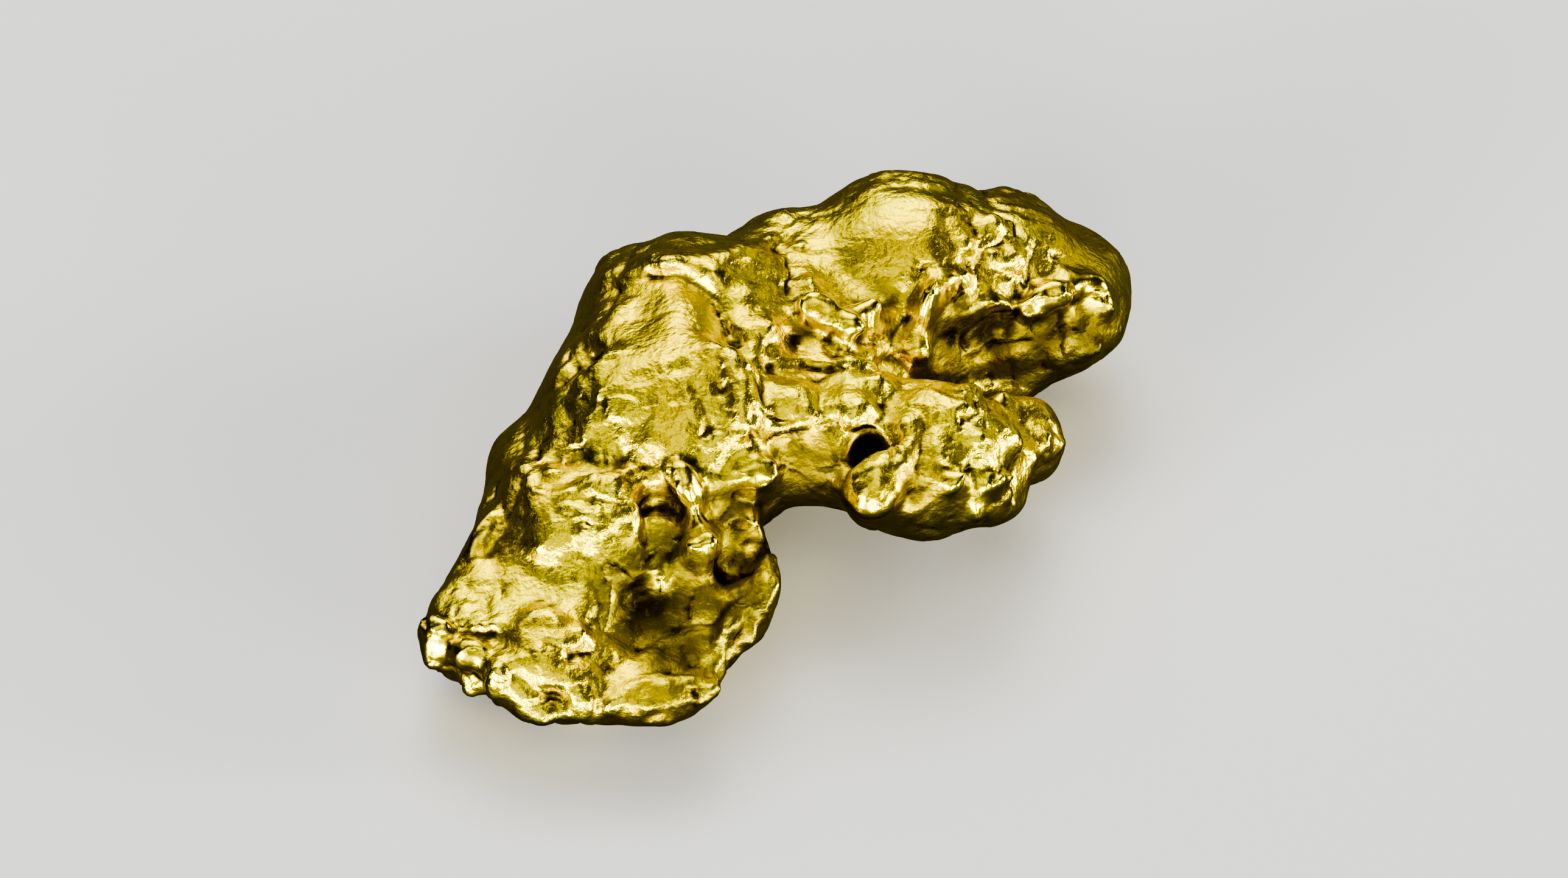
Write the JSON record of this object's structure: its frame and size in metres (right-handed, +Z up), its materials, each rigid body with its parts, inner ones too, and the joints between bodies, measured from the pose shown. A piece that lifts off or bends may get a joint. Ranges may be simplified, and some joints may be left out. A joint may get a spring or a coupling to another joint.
{
  "type": "gold nugget",
  "caption": "Small water-worn placer gold nugget: a lobed, pitted lump with a rounded head, a stubby side arm, a scooped front lobe and a crinkled, burnished skin.",
  "frame": {"origin": "middle of the bounding box in plan, on the surface that the nugget rests on", "axes": "+X to the right along the nugget's widest extent, from the front lobe's tip to the rounded head's end; +Y to the back, where the head lies; +Z up. The scooped front lobe and the side arm face the front, -Y."},
  "size_m": [0.005, 0.0048, 0.0018],
  "materials": {
    "gold": "satin"
  },
  "bodies": {
    "root": {"nugget": "gold"}
  },
  "joints": []
}
